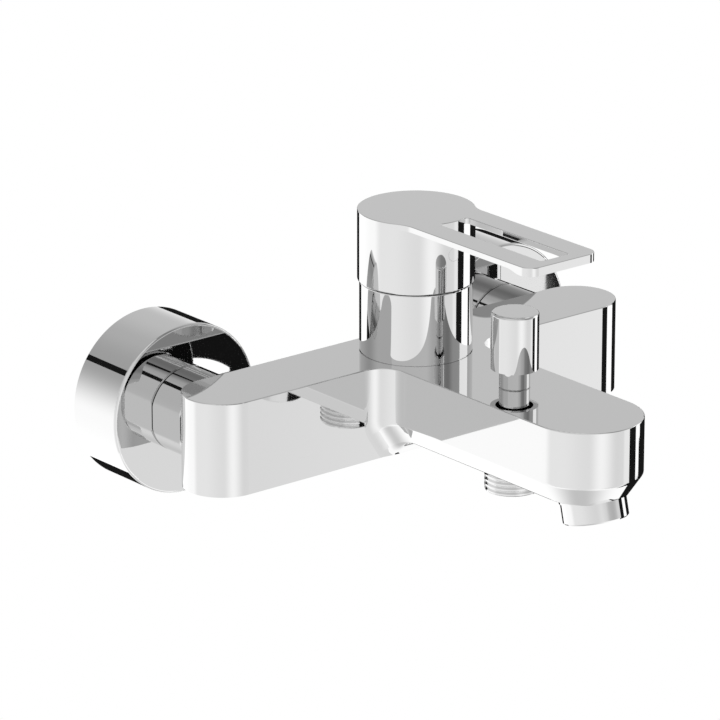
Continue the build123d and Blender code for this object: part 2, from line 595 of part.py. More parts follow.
def cartridge_rotor():
    """Turning holder that carries the spindle on a cross pin."""
    rotor = rod(ROTOR_RADIUS, ROTOR_Z, ROTOR_SHOULDER)
    rotor = rotor + rod(ROTOR_NECK_RADIUS, ROTOR_SHOULDER, ROTOR_TOP)
    lift = math.radians(LIFT_ANGLE)
    half = SPINDLE_WIDTH / 2
    swing_back = (ROTOR_TOP - PIVOT_Z) * math.tan(lift) + half / math.cos(lift) + SLIDE_GAP
    shank_swing = SPINDLE_SHANK_DROP * math.tan(lift) + half / math.cos(lift)
    neck_swing = PIVOT_HEIGHT * math.tan(lift) + SPINDLE_NECK_RADIUS / math.cos(lift)
    swing_front = max(shank_swing, neck_swing) + SLIDE_GAP
    slot = Pos(0, (swing_back - swing_front) / 2, (ROTOR_Z + ROTOR_TOP) / 2) * Box(
        SPINDLE_WIDTH + 2 * SLIDE_GAP, swing_back + swing_front, ROTOR_TOP - ROTOR_Z
    )
    rotor = HANDLE_AXIS * (rotor - slot)
    half_pin = PIVOT_PIN_LENGTH / 2
    return rotor - across(PIVOT_PIN_RADIUS, -half_pin, half_pin, HANDLE_REACH, PIVOT_Z)


def pivot_pin():
    """Steel cross pin that the spindle tilts on."""
    half_pin = PIVOT_PIN_LENGTH / 2
    return across(PIVOT_PIN_RADIUS, -half_pin, half_pin, HANDLE_REACH, PIVOT_Z)


def lever_spindle():
    """Square spindle with a ball end below the cross pin."""
    shank_z = PIVOT_Z - SPINDLE_SHANK_DROP
    shank_height = SPINDLE_TOP - shank_z
    spindle = Pos(0, 0, shank_z + shank_height / 2) * Box(SPINDLE_WIDTH, SPINDLE_WIDTH, shank_height)
    spindle = spindle + rod(SPINDLE_NECK_RADIUS, BALL_Z, shank_z)
    spindle = spindle + Pos(0, 0, BALL_Z) * Sphere(SPINDLE_BALL_RADIUS)
    spindle = HANDLE_AXIS * spindle
    half = SPINDLE_WIDTH / 2
    return spindle - across(PIVOT_PIN_RADIUS + RUNNING_GAP, -half, half, HANDLE_REACH, PIVOT_Z)


def cartridge_nut():
    """Brass ring nut that clamps the cartridge, with keyways for a pin wrench."""
    nut = tube(NUT_THREAD_RADIUS, CARTRIDGE_NUT_BORE_RADIUS, HOUSING_TOP, CARTRIDGE_NUT_TOP)
    keyway = rod(KEYWAY_RADIUS, HOUSING_TOP, CARTRIDGE_NUT_TOP)
    nut = nut - PolarLocations(CARTRIDGE_NUT_BORE_RADIUS, CARTRIDGE_NUT_KEYWAYS) * keyway
    return HANDLE_AXIS * nut


def tower_cover():
    """Chromed ring that closes the tower round the spindle."""
    cover_top = CARTRIDGE_NUT_TOP + COVER_THICKNESS
    return HANDLE_AXIS * tube(NUT_THREAD_RADIUS, COVER_BORE_RADIUS, CARTRIDGE_NUT_TOP, cover_top)


def lever_plan():
    """Outline of the handle top and its lever seen from above."""
    length = LEVER_REACH - HANDLE_REACH
    outline = Circle(HANDLE_RADIUS) + Pos(0, -length / 2) * Rectangle(LEVER_WIDTH, length)
    outline = fillet(at_level(outline.vertices(), Axis.Y, -length), LEVER_CORNER_RADIUS)
    root_offset = -math.sqrt(HANDLE_RADIUS**2 - (LEVER_WIDTH / 2) ** 2)
    outline = fillet(at_level(outline.vertices(), Axis.Y, root_offset), LEVER_ROOT_RADIUS)
    slot_length = length - LEVER_END_BAR
    slot = Pos(0, -slot_length / 2) * Rectangle(LEVER_SLOT_WIDTH, slot_length)
    slot = slot - Circle(HANDLE_RADIUS)
    slot = fillet(slot.vertices(), LEVER_SLOT_CORNER)
    return HANDLE_AXIS * (outline - slot)


def lever_side():
    """Side outline of the lever: a thin plate that steps down to a thicker tip."""
    tip = -LEVER_REACH
    step_end = tip + LEVER_TIP_LENGTH
    step_start = step_end + LEVER_STEP_LENGTH
    root = -HANDLE_REACH
    under = HANDLE_TOP - LEVER_THICKNESS
    tip_under = HANDLE_TOP - LEVER_TIP_THICKNESS
    middle = ((step_start + step_end) / 2, (under + tip_under) / 2)
    outline = [
        Line((root, HANDLE_TOP), (root, under)),
        Line((root, under), (step_start, under)),
        TangentArc((step_start, under), middle, tangent=(-1, 0)),
        TangentArc((step_end, tip_under), middle, tangent=(1, 0)),
        Line((step_end, tip_under), (tip, tip_under)),
        Line((tip, tip_under), (tip, HANDLE_TOP)),
        Line((tip, HANDLE_TOP), (root, HANDLE_TOP)),
    ]
    return make_face(outline)


def handle_hollow(roof):
    """Inside of the handle: a bell mouth that swings clear of the tower's rim, then a straight bore."""
    rim_centre = (TOWER_RADIUS - TOWER_EDGE_RADIUS, TOWER_TOP - TOWER_EDGE_RADIUS - PIVOT_Z)
    swing_radius = math.hypot(*rim_centre) + TOWER_EDGE_RADIUS + SLIDE_GAP
    mouth_radius = math.sqrt(swing_radius**2 - (HANDLE_BOTTOM - PIVOT_Z) ** 2)
    throat_z = PIVOT_Z + math.sqrt(swing_radius**2 - HANDLE_CAVITY_RADIUS**2)
    mouth = (mouth_radius, HANDLE_BOTTOM)
    throat = (HANDLE_CAVITY_RADIUS, throat_z)
    outline = [
        Line((0, roof), (0, HANDLE_BOTTOM)),
        Line((0, HANDLE_BOTTOM), mouth),
        RadiusArc(mouth, throat, -swing_radius),
        Line(throat, (HANDLE_CAVITY_RADIUS, roof)),
        Line((HANDLE_CAVITY_RADIUS, roof), (0, roof)),
    ]
    return revolve(Plane.XZ * make_face(outline), Axis.Z)


def handle_lever():
    """Zinc handle: a cup over the tower with a slotted lever plate in one piece."""
    plate = extrude(Pos(0, 0, HANDLE_TOP - LEVER_TIP_THICKNESS) * lever_plan(), amount=LEVER_TIP_THICKNESS)
    side_plane = Plane(origin=(-HANDLE_RADIUS, 0, 0), x_dir=(0, 1, 0), z_dir=(1, 0, 0))
    plate = plate & extrude(side_plane * lever_side(), amount=2 * HANDLE_RADIUS)
    cup = HANDLE_AXIS * rod(HANDLE_RADIUS, HANDLE_BOTTOM, HANDLE_TOP)
    cup = fillet(edges_at(cup, HANDLE_BOTTOM), HANDLE_EDGE_RADIUS)
    handle = cup + plate
    handle = fillet(edges_at(handle, HANDLE_TOP), HANDLE_TOP_EDGE)
    roof = HANDLE_TOP - HANDLE_ROOF_THICKNESS
    hollow = handle_hollow(roof)
    boss = rod(HANDLE_BOSS_RADIUS, roof - HANDLE_BOSS_HEIGHT, HANDLE_TOP)
    handle = handle - HANDLE_AXIS * (hollow - boss)
    socket_width = SPINDLE_WIDTH + 2 * SCREW_GAP
    socket_height = SPINDLE_TOP + SEAM_GAP - (roof - HANDLE_BOSS_HEIGHT)
    socket = Box(socket_width, socket_width, socket_height)
    handle = handle - HANDLE_AXIS * Pos(0, 0, SPINDLE_TOP + SEAM_GAP - socket_height / 2) * socket
    spindle_reach = HANDLE_REACH + SPINDLE_WIDTH / 2
    boss_reach = HANDLE_REACH + HANDLE_BOSS_RADIUS
    front_reach = HANDLE_REACH + HANDLE_RADIUS
    handle = handle - along_wall(SET_SCREW_RADIUS + SCREW_GAP, spindle_reach, boss_reach, 0, PLUG_Z)
    return handle - along_wall(PLUG_RADIUS + SCREW_GAP, boss_reach, front_reach, 0, PLUG_Z)


def set_screw():
    """Grub screw that locks the handle to the spindle."""
    start = HANDLE_REACH + SPINDLE_WIDTH / 2
    return along_wall(SET_SCREW_RADIUS, start, HANDLE_REACH + HANDLE_BOSS_RADIUS, 0, PLUG_Z)


def screw_plug():
    """Small plug over the grub screw, rounded to the handle's surface."""
    start = HANDLE_REACH + HANDLE_RADIUS - PLUG_DEPTH
    plug = along_wall(PLUG_RADIUS, start, HANDLE_REACH + HANDLE_RADIUS, 0, PLUG_Z)
    return plug & HANDLE_AXIS * rod(HANDLE_RADIUS, HANDLE_BOTTOM, HANDLE_TOP)


def diverter_knob():
    """Pull knob that slides over the bonnet."""
    knob = rod(KNOB_RADIUS, KNOB_BOTTOM, KNOB_TOP)
    knob = fillet(edges_at(knob, KNOB_TOP), KNOB_EDGE_RADIUS)
    knob = knob - rod(KNOB_CAVITY_RADIUS, KNOB_BOTTOM, KNOB_BOTTOM + KNOB_CAVITY_DEPTH)
    stem_top = KNOB_BOTTOM + KNOB_CAVITY_DEPTH + STEM_KNOB_DEPTH
    return DIVERTER_AXIS * (knob - rod(STEM_RADIUS + SCREW_GAP, KNOB_BOTTOM, stem_top))


def diverter_bonnet():
    """Chromed neck screwed into the top of the spout, which guides and seals the stem."""
    bonnet = rod(BONNET_RADIUS, BODY_TOP, BODY_TOP + BONNET_HEIGHT)
    bonnet = chamfer(edges_at(bonnet, BODY_TOP), BONNET_FOOT_CHAMFER)
    bonnet = bonnet + rod(BONNET_THREAD_RADIUS, CHAMBER_TOP, BODY_TOP)
    bonnet = bonnet - rod(STEM_RADIUS + RUNNING_GAP, CHAMBER_TOP, BODY_TOP + BONNET_HEIGHT)
    groove = rod(BONNET_SEAL_RADIUS, BODY_TOP, BODY_TOP + BONNET_SEAL_HEIGHT)
    return DIVERTER_AXIS * (bonnet - groove)


def bonnet_seal():
    """Rubber ring that wipes the stem inside the bonnet."""
    seal = tube(BONNET_SEAL_RADIUS, STEM_RADIUS + RUNNING_GAP, BODY_TOP, BODY_TOP + BONNET_SEAL_HEIGHT)
    return DIVERTER_AXIS * seal


def diverter_stem():
    """Stem from the knob down to the piston, with a spigot for the piston and its nut."""
    stem_top = KNOB_BOTTOM + KNOB_CAVITY_DEPTH + STEM_KNOB_DEPTH
    stem = rod(STEM_RADIUS, PISTON_TOP, stem_top)
    return DIVERTER_AXIS * (stem + rod(STEM_SPIGOT_RADIUS, PISTON_Z - STEM_NUT_HEIGHT, PISTON_TOP))


def piston_ring(bottom, top, radius):
    """One layer of the piston on the stem's spigot."""
    return DIVERTER_AXIS * tube(radius, STEM_SPIGOT_RADIUS + SCREW_GAP, bottom, top)


def stem_nut():
    """Small hexagon nut that holds the piston on the stem."""
    hexagon = RegularPolygon(STEM_NUT_ACROSS_FLATS / 2, HEXAGON_SIDES, major_radius=False)
    nut = Pos(0, 0, PISTON_Z - STEM_NUT_HEIGHT) * extrude(hexagon, amount=STEM_NUT_HEIGHT)
    hole = rod(STEM_SPIGOT_RADIUS + SCREW_GAP, PISTON_Z - STEM_NUT_HEIGHT, PISTON_Z)
    return DIVERTER_AXIS * (nut - hole)


def diverter_seat():
    """Brass ring pressed into the chamber, which the raised piston closes."""
    ring = tube(CHAMBER_RADIUS, SEAT_BORE_RADIUS, SEAT_RING_Z, SEAT_RING_Z + SEAT_THICKNESS)
    return DIVERTER_AXIS * ring


def diverter_spring():
    """Return spring between the bonnet and the piston."""
    turns = DIVERTER_SPRING_TURNS
    return DIVERTER_AXIS * coil(DIVERTER_SPRING_RADIUS, DIVERTER_SPRING_WIRE, PISTON_TOP, CHAMBER_TOP, turns)


def shower_outlet():
    """Threaded outlet for the shower hose, screwed in from below, with the lower seat on top."""
    outlet = rod(OUTLET_RADIUS, OUTLET_BOTTOM, UNDERSIDE_Z)
    outlet = chamfer(edges_at(outlet, OUTLET_BOTTOM), OUTLET_EDGE_CHAMFER)
    outlet = outlet + rod(CHAMBER_RADIUS - SCREW_GAP, UNDERSIDE_Z, OUTLET_SEAT_Z)
    outlet = outlet - rod(SEAT_BORE_RADIUS, VALVE_TOP, OUTLET_SEAT_Z)
    return DIVERTER_AXIS * (outlet - rod(OUTLET_BORE_RADIUS, OUTLET_BOTTOM, VALVE_TOP))


def valve_sleeve():
    """Plastic sleeve of the check valve, with its seat above and a drilled guide below."""
    sleeve_radius = OUTLET_BORE_RADIUS - SCREW_GAP
    sleeve = rod(sleeve_radius, VALVE_BOTTOM, VALVE_TOP)
    sleeve = sleeve - rod(VALVE_SEAT_BORE, VALVE_TOP - VALVE_SEAT_THICKNESS, VALVE_TOP)
    chamber = rod(sleeve_radius - VALVE_SLEEVE_WALL, VALVE_GUIDE_TOP, VALVE_TOP - VALVE_SEAT_THICKNESS)
    sleeve = sleeve - chamber
    sleeve = sleeve - rod(POPPET_STEM_RADIUS + RUNNING_GAP, VALVE_BOTTOM, VALVE_GUIDE_TOP)
    drain = rod(VALVE_GUIDE_HOLE, VALVE_BOTTOM, VALVE_GUIDE_TOP)
    return DIVERTER_AXIS * (sleeve - PolarLocations(VALVE_GUIDE_HOLE_SPREAD, VALVE_GUIDE_HOLES) * drain)


def valve_poppet():
    """Poppet that closes the check valve, guided by its stem."""
    poppet = rod(POPPET_RADIUS, POPPET_BOTTOM, POPPET_TOP)
    return DIVERTER_AXIS * (poppet + rod(POPPET_STEM_RADIUS, VALVE_BOTTOM, POPPET_BOTTOM))


def valve_spring():
    """Light spring that shuts the check valve."""
    turns = VALVE_SPRING_TURNS
    return DIVERTER_AXIS * coil(VALVE_SPRING_RADIUS, VALVE_SPRING_WIRE, VALVE_GUIDE_TOP, POPPET_BOTTOM, turns)


def aerator_housing():
    """Chromed ring screwed over the stub on the spout, with a lip that holds the insert."""
    start = AERATOR_COLLAR_LENGTH
    end = start + AERATOR_LENGTH
    insert_end = start + AERATOR_STUB_LENGTH + AERATOR_GASKET_THICKNESS + AERATOR_INSERT_THICKNESS
    housing = rod(AERATOR_RADIUS, start, end)
    housing = chamfer(edges_at(housing, end), AERATOR_EDGE_CHAMFER)
    housing = housing - rod(AERATOR_STUB_RADIUS + SCREW_GAP, start, insert_end)
    return AERATOR_JET * (housing - rod(AERATOR_LIP_RADIUS, insert_end, end))


def aerator_gasket():
    """Rubber ring between the stub and the insert."""
    start = AERATOR_COLLAR_LENGTH + AERATOR_STUB_LENGTH
    end = start + AERATOR_GASKET_THICKNESS
    return AERATOR_JET * tube(AERATOR_STUB_RADIUS, AERATOR_BORE_RADIUS, start, end)


def aerator_insert():
    """Plastic jet former: a disc with a honeycomb of small holes."""
    start = AERATOR_COLLAR_LENGTH + AERATOR_STUB_LENGTH + AERATOR_GASKET_THICKNESS
    end = start + AERATOR_INSERT_THICKNESS
    count = 2 * int(AERATOR_HOLE_FIELD / AERATOR_HOLE_PITCH) + 1
    cells = HexLocations(AERATOR_HOLE_PITCH / math.sqrt(3), count, count, major_radius=True)
    inside = [cell for cell in cells if cell.position.length < AERATOR_HOLE_FIELD]
    holes = [cell * Circle(AERATOR_HOLE_RADIUS) for cell in inside]
    disc = Pos(0, 0, start) * extrude(Circle(AERATOR_STUB_RADIUS) - holes, amount=end - start)
    return AERATOR_JET * disc


def write(name, shape):
    """Write one piece to its own file."""
    export_step(shape, os.path.join("parts", name + ".step"))


os.makedirs("parts", exist_ok=True)

write("mixer_body", mixer_body())
for side_name, side_x in (("left", -INLET_SPACING / 2), ("right", INLET_SPACING / 2)):
    write(side_name + "_coupling_nut", coupling_nut(side_x))
    write(side_name + "_inlet_nipple", inlet_nipple(side_x))
    write(side_name + "_inlet_washer", inlet_washer(side_x))
    write(side_name + "_eccentric_union", eccentric_union(side_x))
    write(side_name + "_wall_flange", wall_flange(side_x))
    write(side_name + "_flange_seal", flange_seal(side_x))

write("cartridge_port_seals", port_seals())
write("cartridge_base", cartridge_base())
write("cartridge_housing", cartridge_housing())
write("fixed_ceramic_disc", fixed_disc())
write("moving_ceramic_disc", moving_disc())
write("disc_driver", disc_driver())
write("cartridge_rotor", cartridge_rotor())
write("pivot_pin", pivot_pin())
write("lever_spindle", lever_spindle())
write("cartridge_nut", cartridge_nut())
write("tower_cover", tower_cover())
write("handle_lever", handle_lever())
write("handle_set_screw", set_screw())
write("handle_screw_plug", screw_plug())

write("diverter_knob", diverter_knob())
write("diverter_bonnet", diverter_bonnet())
write("diverter_bonnet_seal", bonnet_seal())
write("diverter_stem", diverter_stem())
write("diverter_lower_washer", piston_ring(PISTON_Z, PISTON_CORE_Z, PISTON_RADIUS))
write("diverter_piston", piston_ring(PISTON_CORE_Z, PISTON_UPPER_Z, PISTON_RADIUS))
write("diverter_upper_washer", piston_ring(PISTON_UPPER_Z, PISTON_TOP, PISTON_RADIUS))
write("diverter_stem_nut", stem_nut())
write("diverter_seat", diverter_seat())
write("diverter_spring", diverter_spring())

write("shower_outlet", shower_outlet())
write("check_valve_sleeve", valve_sleeve())
write("check_valve_poppet", valve_poppet())
write("check_valve_spring", valve_spring())

write("aerator_housing", aerator_housing())
write("aerator_gasket", aerator_gasket())
write("aerator_insert", aerator_insert())
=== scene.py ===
# %% [markdown]
# # A wall mounted bath mixer in polished chrome
# The imported model gives every piece at its real size, in metres: X to the right, Y into the wall, Z up,
# with the origin on the wall between the two supplies. This lesson gives the pieces their finishes, turns the
# nuts and threads that show, copies the springs, and builds a small studio for the chrome to mirror.

import json
import math

import bmesh
import bpy
from mathutils import Matrix, Vector


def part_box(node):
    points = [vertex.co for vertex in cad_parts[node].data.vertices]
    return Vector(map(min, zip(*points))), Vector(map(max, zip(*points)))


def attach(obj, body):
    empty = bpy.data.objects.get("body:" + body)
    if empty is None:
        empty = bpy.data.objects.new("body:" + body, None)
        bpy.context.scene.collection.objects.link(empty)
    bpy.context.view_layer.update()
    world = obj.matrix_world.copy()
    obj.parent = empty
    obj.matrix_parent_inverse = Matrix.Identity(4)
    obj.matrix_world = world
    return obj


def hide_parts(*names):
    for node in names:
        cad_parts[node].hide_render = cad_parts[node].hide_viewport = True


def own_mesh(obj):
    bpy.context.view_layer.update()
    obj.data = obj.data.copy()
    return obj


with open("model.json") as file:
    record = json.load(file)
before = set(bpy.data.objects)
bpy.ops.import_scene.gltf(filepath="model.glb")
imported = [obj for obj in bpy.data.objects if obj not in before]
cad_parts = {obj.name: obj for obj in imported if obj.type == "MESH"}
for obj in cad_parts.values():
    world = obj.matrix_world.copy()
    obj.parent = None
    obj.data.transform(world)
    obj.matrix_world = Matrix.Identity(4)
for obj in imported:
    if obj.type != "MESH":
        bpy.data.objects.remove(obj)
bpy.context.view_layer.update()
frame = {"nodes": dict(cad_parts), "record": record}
nodes = frame["nodes"]
MM = 0.001

# %% [markdown]
# ## The camera
# The picture was taken from the left and a little above, from far away with a long lens, so that edges which
# are parallel on the mixer stay almost parallel. A long lens needs a long distance, and both were found
# together, from the picture's outlines and the usual distance between the two supplies.

# %% Camera
LENS_MM = 262.44
SENSOR_MM = 36.0
CAMERA_PLACE = Vector((-1.1549, -1.4499, 0.6179))
CAMERA_AIM = Vector((-0.02124, -0.05818, 0.00376))
line_of_sight = CAMERA_AIM - CAMERA_PLACE
camera_data = bpy.data.cameras.new("camera")
camera_data.lens = LENS_MM
camera_data.sensor_width = SENSOR_MM
camera = bpy.data.objects.new("camera", camera_data)
camera.location = CAMERA_PLACE
camera.rotation_euler = line_of_sight.to_track_quat("-Z", "Y").to_euler()
bpy.context.scene.collection.objects.link(camera)
bpy.context.scene.camera = camera
print("camera is", round(line_of_sight.length, 3), "m from the mixer")

# %% [markdown]
# ## Small helpers for materials
# Colours are written the way a paint chart does, as sRGB hex, and shaders want linear light, so one function
# turns one into the other. The studio's light is written as plain linear tones. Another function adds a node,
# sets its inputs and links them, and the last two start a material and size its patterns.


# %% Colour and node helpers
def colour(hex_text):
    """Linear RGBA from an sRGB hex text such as C0C0C0."""
    channels = []
    for start in (0, 2, 4):
        value = int(hex_text[start : start + 2], 16) / 255
        linear = value / 12.92 if value <= 0.04045 else ((value + 0.055) / 1.055) ** 2.4
        channels.append(linear)
    return (*channels, 1.0)


def grey(tone):
    """Neutral RGBA of one linear tone, where 1 is white."""
    return (tone, tone, tone, 1.0)


def add(tree, kind, inputs, **settings):
    """Adds a node: settings are its own properties, inputs are values or other nodes' sockets."""
    node = tree.nodes.new(kind)
    for name, value in settings.items():
        setattr(node, name, value)
    for name, value in inputs.items():
        if isinstance(value, bpy.types.NodeSocket):
            tree.links.new(value, node.inputs[name])
        else:
            node.inputs[name].default_value = value
    return node


def new_material(name):
    """An empty material, its node tree, the coordinates for patterns and the socket for its shader."""
    material = bpy.data.materials.new(name)
    material.use_nodes = True
    tree = material.node_tree
    tree.nodes.clear()
    place = add(tree, "ShaderNodeTexCoord", {})
    output = add(tree, "ShaderNodeOutputMaterial", {})
    return material, tree, place.outputs["Object"], output.inputs["Surface"]


def pattern_scale(size_mm):
    """Texture scale of a pattern whose features are this many millimetres wide."""
    return 1.0 / (size_mm * MM)


print("helpers ready: colour, grey, add, new_material, pattern_scale")

# %% [markdown]
# ## Polished chrome
# Everything that shows on the outside is brass or zinc, polished and then plated with nickel and chrome. The
# plate is a mirror: almost no colour of its own and very low roughness. A plate is never equally clean all
# over, so faint clouds of haze, some millimetres wide, raise the roughness a little.

# %% Polished chrome plate
CHROME = "D8D8D8"
HAZE_SIZE_MM = 9.0
HAZE_DETAIL = 3.0
HAZE_RANGE = (0.35, 0.7)
CHROME_ROUGHNESS = (0.015, 0.035)


def chrome_plate():
    """Mirror plate: the eye sees the room in it, a little dimmed, and a touch softer where there is haze."""
    material, tree, place, surface = new_material("polished_chrome_plate")
    scale = pattern_scale(HAZE_SIZE_MM)
    haze = add(tree, "ShaderNodeTexNoise", {"Vector": place, "Scale": scale, "Detail": HAZE_DETAIL})
    rough = add(
        tree,
        "ShaderNodeMapRange",
        {
            "Value": haze.outputs["Fac"],
            "From Min": HAZE_RANGE[0],
            "From Max": HAZE_RANGE[1],
            "To Min": CHROME_ROUGHNESS[0],
            "To Max": CHROME_ROUGHNESS[1],
        },
    )
    shader = add(
        tree,
        "ShaderNodeBsdfPrincipled",
        {"Base Color": colour(CHROME), "Metallic": 1.0, "Roughness": rough.outputs["Result"]},
    )
    tree.links.new(shader.outputs["BSDF"], surface)
    return material


finishes = {"chrome": chrome_plate()}
print("made", finishes["chrome"].name)

# %% [markdown]
# ## The finishes behind the chrome
# From behind, and with the handle lifted, other materials show: the turned brass of the unions, drawn steel,
# black rubber seals, moulded plastic and the white ceramic of the discs. Each could have a pattern of its own
# kind, but little of them is seen, so one fine grain moves colour, roughness and height together and only its
# numbers differ. The real grain is too fine to show, so it is drawn about a millimetre wide.

# %% Turned brass, drawn steel, rubber, plastics and ceramic
GRAIN_DETAIL = 4.0
BUMP_STRENGTH = 0.6


def grained(name, base, deep, size_mm, metallic, rough, bump_mm):
    """A finish whose colour, roughness and height all follow one fine grain."""
    material, tree, place, surface = new_material(name)
    scale = pattern_scale(size_mm)
    noise = add(tree, "ShaderNodeTexNoise", {"Vector": place, "Scale": scale, "Detail": GRAIN_DETAIL})
    grain = noise.outputs["Fac"]
    tint = add(
        tree,
        "ShaderNodeMix",
        {"Factor": grain, "A": colour(deep), "B": colour(base)},
        data_type="RGBA",
    )
    shine = add(tree, "ShaderNodeMapRange", {"Value": grain, "To Min": rough[0], "To Max": rough[1]})
    bump = add(
        tree, "ShaderNodeBump", {"Height": grain, "Distance": bump_mm * MM, "Strength": BUMP_STRENGTH}
    )
    shader = add(
        tree,
        "ShaderNodeBsdfPrincipled",
        {
            "Base Color": tint.outputs["Result"],
            "Metallic": metallic,
            "Roughness": shine.outputs["Result"],
            "Normal": bump.outputs["Normal"],
        },
    )
    tree.links.new(shader.outputs["BSDF"], surface)
    return material


# Brass is a warm yellow metal, and what the tool leaves on it blurs its reflections.
finishes["brass"] = grained(
    "turned_brass", "D8B468", "B08A45", size_mm=0.9, metallic=1.0, rough=(0.22, 0.42), bump_mm=0.02
)
# Drawn steel is a cold grey metal, a little smoother than the brass.
finishes["steel"] = grained(
    "drawn_stainless_steel", "C9CACC", "A5A7AA", size_mm=0.7, metallic=1.0, rough=(0.2, 0.35), bump_mm=0.01
)
# Rubber is nearly black and dull, with a faint paler bloom.
finishes["black_rubber"] = grained(
    "moulded_nitrile_rubber", "2A2A2B", "171718", size_mm=0.8, metallic=0.0, rough=(0.6, 0.85), bump_mm=0.05
)
# Acetal is milky, with the low sheen of a moulding tool, in the cartridge white and in the inserts grey.
finishes["white_plastic"] = grained(
    "moulded_white_acetal", "EDEDE8", "DDDCD6", size_mm=1.2, metallic=0.0, rough=(0.3, 0.5), bump_mm=0.02
)
finishes["grey_plastic"] = grained(
    "moulded_grey_acetal", "B4B7BA", "9DA1A5", size_mm=1.2, metallic=0.0, rough=(0.3, 0.5), bump_mm=0.02
)
# Lapped alumina is a warm white and shines almost like glaze.
finishes["ceramic"] = grained(
    "lapped_alumina_ceramic", "F4F2EC", "E6E3DA", size_mm=0.6, metallic=0.0, rough=(0.12, 0.25), bump_mm=0.005
)
for sub_part in frame["record"]["subparts"]:
    nodes[sub_part["node"]].material_slots[0].material = finishes[sub_part["material_slot"]]

# %% [markdown]
# ## Turned pieces
# Nuts, bores and threads are all turned on a lathe, and a lathe in Blender is the spin operator: it carries a
# line of corners once round an axis. Each piece here is turned along Z with one end at zero, where sizes are
# easy to read, in millimetres, and is then laid along its own axis on the mixer.

# %% Lathe helpers
TURN_STEPS = 96
FULL_TURN = 2 * math.pi
MERGE_DISTANCE = 2e-6
LEVEL_TOLERANCE = 1e-6
SHARP_ANGLE = math.radians(25)


def profile(mesh, line):
    """Corners and edges of a line of radius and height pairs, in millimetres."""
    corners = [mesh.verts.new((radius * MM, 0, height * MM)) for radius, height in line]
    edges = [mesh.edges.new(pair) for pair in zip(corners, corners[1:])]
    return corners + edges


def turned(mesh, line):
    """Full turn of a line of radius and height pairs, in millimetres."""
    geom = profile(mesh, line)
    bmesh.ops.spin(mesh, geom=geom, axis=(0, 0, 1), angle=FULL_TURN, steps=TURN_STEPS, use_merge=True)


def cut_off(mesh, place, away):
    """Cuts the mesh at a plane and removes what lies on the side that away points to."""
    whole = mesh.verts[:] + mesh.edges[:] + mesh.faces[:]
    bmesh.ops.bisect_plane(mesh, geom=whole, plane_co=place, plane_no=away, clear_outer=True)


def close_ring(mesh, level):
    """Bridges the two open rings that lie at one height, in metres."""
    rings = [
        edge
        for edge in mesh.edges
        if edge.is_boundary and all(abs(corner.co.z - level) < LEVEL_TOLERANCE for corner in edge.verts)
    ]
    bmesh.ops.bridge_loops(mesh, edges=rings)


def out_from_wall(place):
    """Matrix that lays Z from a place straight out of the wall towards the room."""
    return Matrix.Translation(place) @ Matrix.Rotation(math.radians(90), 4, "X")


def as_object(mesh, name, material):
    """Turns the bmesh into an object of one material, at the origin."""
    data = bpy.data.meshes.new(name)
    mesh.to_mesh(data)
    mesh.free()
    data.materials.append(material)
    made = bpy.data.objects.new(name, data)
    bpy.context.scene.collection.objects.link(made)
    return made


def finished(mesh, name, slot, node):
    """Makes the bmesh a piece that stands for a node and takes its slot's finish."""
    bmesh.ops.recalc_face_normals(mesh, faces=mesh.faces)
    piece = as_object(mesh, name, finishes[slot])
    piece.data.shade_smooth()
    piece.data.set_sharp_from_angle(angle=SHARP_ANGLE)
    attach(piece, "mixer")
    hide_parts(node)
    print(name, "has", len(piece.data.polygons), "faces")
    return piece


print("lathe ready, with", TURN_STEPS, "steps to a turn")

# %% [markdown]
# ## The coupling nuts
# Between each flange and the crossbar sits a nut with a round outside and two flats for a wide spanner. One
# closed line, turned once, gives the outside with its two broken edges, the wide bore that screws over the
# union and the lip that catches the nipple. Two cuts and two filled faces then make the flats.

# %% Coupling nuts
NUT_RADIUS = 16.05
NUT_FLAT = 15.1
NUT_EDGE = 0.4
NUT_BORE = 13.25
NUT_LIP_BORE = 10.75
NUT_LIP = 4.5
for side in ("left", "right"):
    node = side + "_coupling_nut"
    low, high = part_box(node)
    wall_end = ((low[0] + high[0]) / 2, high[1], (low[2] + high[2]) / 2)
    length = (high[1] - low[1]) / MM
    lip = length - NUT_LIP
    outside = [(NUT_RADIUS - NUT_EDGE, 0), (NUT_RADIUS, NUT_EDGE)]
    outside += [(NUT_RADIUS, length - NUT_EDGE), (NUT_RADIUS - NUT_EDGE, length)]
    inside = [(NUT_LIP_BORE, length), (NUT_LIP_BORE, lip), (NUT_BORE, lip), (NUT_BORE, 0)]
    nut = bmesh.new()
    turned(nut, outside + inside + outside[:1])
    bmesh.ops.remove_doubles(nut, verts=nut.verts, dist=MERGE_DISTANCE)
    for way in (1, -1):
        cut_off(nut, (way * NUT_FLAT * MM, 0, 0), (way, 0, 0))
        bmesh.ops.edgeloop_fill(nut, edges=[edge for edge in nut.edges if edge.is_boundary])
    bmesh.ops.transform(nut, matrix=out_from_wall(wall_end), verts=nut.verts)
    finished(nut, side + "_round_coupling_nut", "chrome", node)

# %% [markdown]
# ## Screw threads
# The shower outlet and the two wall studs carry the half inch pipe thread, 14 turns to the inch, with broad
# flat crests. Boolean cuts or a screw modifier could make it, but one tooth of the profile, spun once round
# the axis while it climbs one pitch, is a turn of the thread itself. Copies of that turn are stacked a pitch
# apart and merged, with some to spare, cut flat at both ends, and the free end gets the cone that lets a nut
# find the first turn.

# %% Thread maker
PITCH = 25.4 / 14
CREST_RADIUS = 10.48
TOOTH_HEIGHT = 0.85
ROOT_SHARE = 0.06
FLANK_SHARE = 0.25
CREST_EDGE_SHARE = 0.03
CREST_EDGE_DROP = 0.08
SPARE_TURNS = 2


